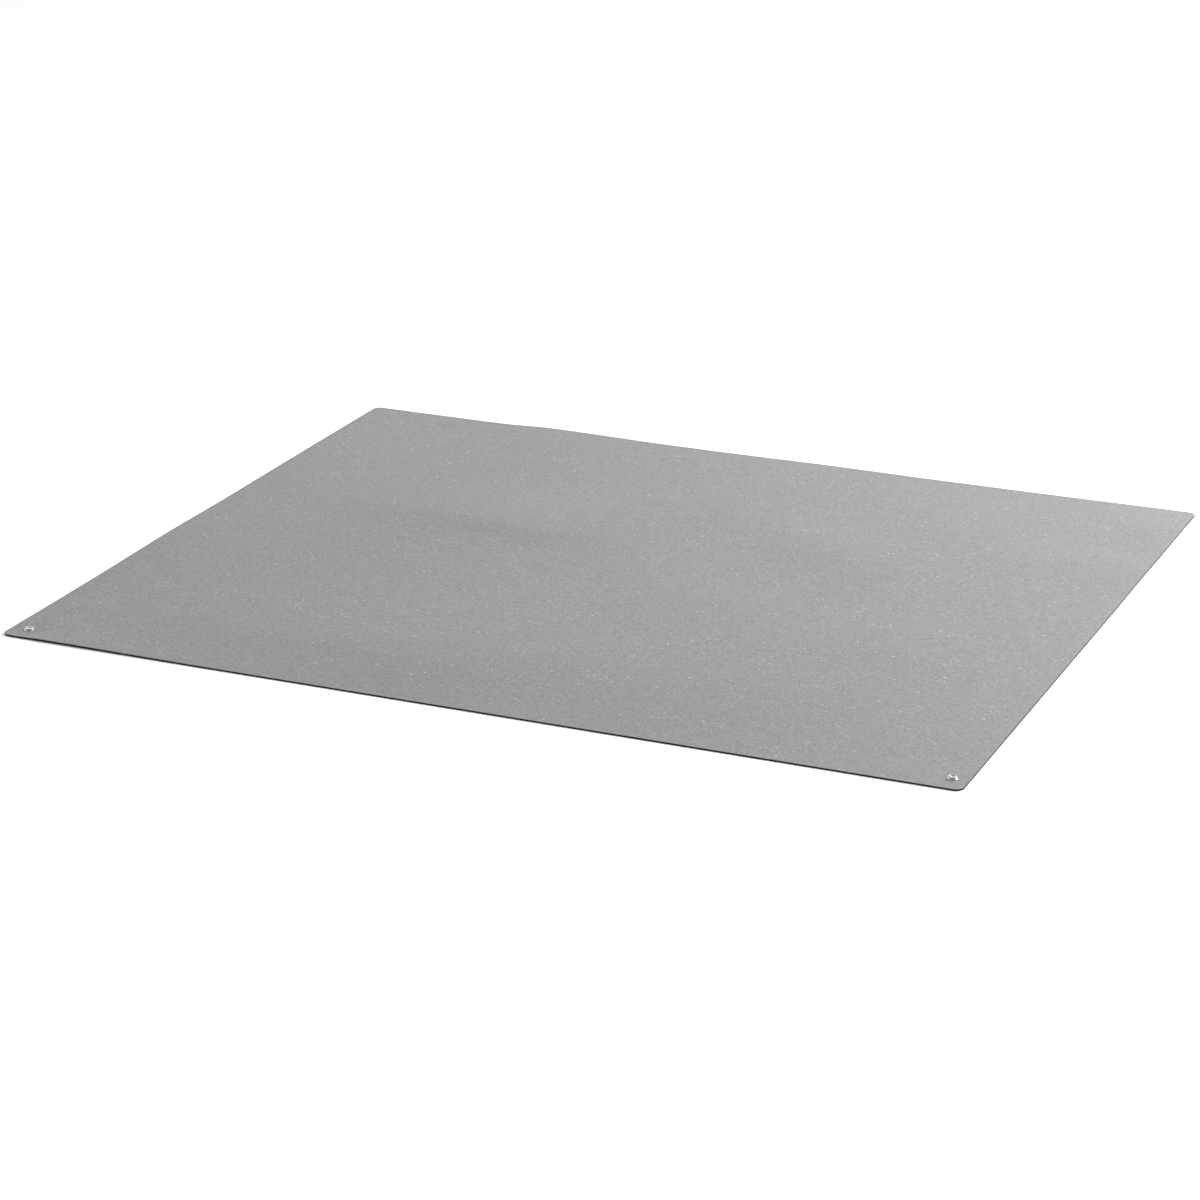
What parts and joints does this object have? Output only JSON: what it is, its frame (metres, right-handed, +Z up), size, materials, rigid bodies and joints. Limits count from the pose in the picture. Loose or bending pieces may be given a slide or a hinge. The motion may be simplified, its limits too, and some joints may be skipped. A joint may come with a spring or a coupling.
{
  "type": "esd floor mat",
  "caption": "Flat rectangular static-dissipative floor mat: flecked grey rubber bonded to black conductive rubber, with metal snap studs near its front corners for grounding leads.",
  "frame": {"origin": "middle of the mat, on the plane of its underside, which is the floor", "axes": "+X along the long edges, to the right when the studs are at the front; +Y from the front edge to the back edge; +Z up, out of the grey face"},
  "size_m": [1.2, 1, 0.0052],
  "materials": {
    "wear_rubber": "matt neutral grey with fine paler flecks",
    "base_rubber": "matt black with a fine cloth texture",
    "snap_metal": "nickel plate, bright with a soft sheen"
  },
  "bodies": {
    "root": {"wear_layer": "wear_rubber", "conductive_base": "base_rubber", "left_snap_stud": "snap_metal", "left_snap_rivet": "snap_metal", "right_snap_stud": "snap_metal", "right_snap_rivet": "snap_metal"}
  },
  "joints": []
}
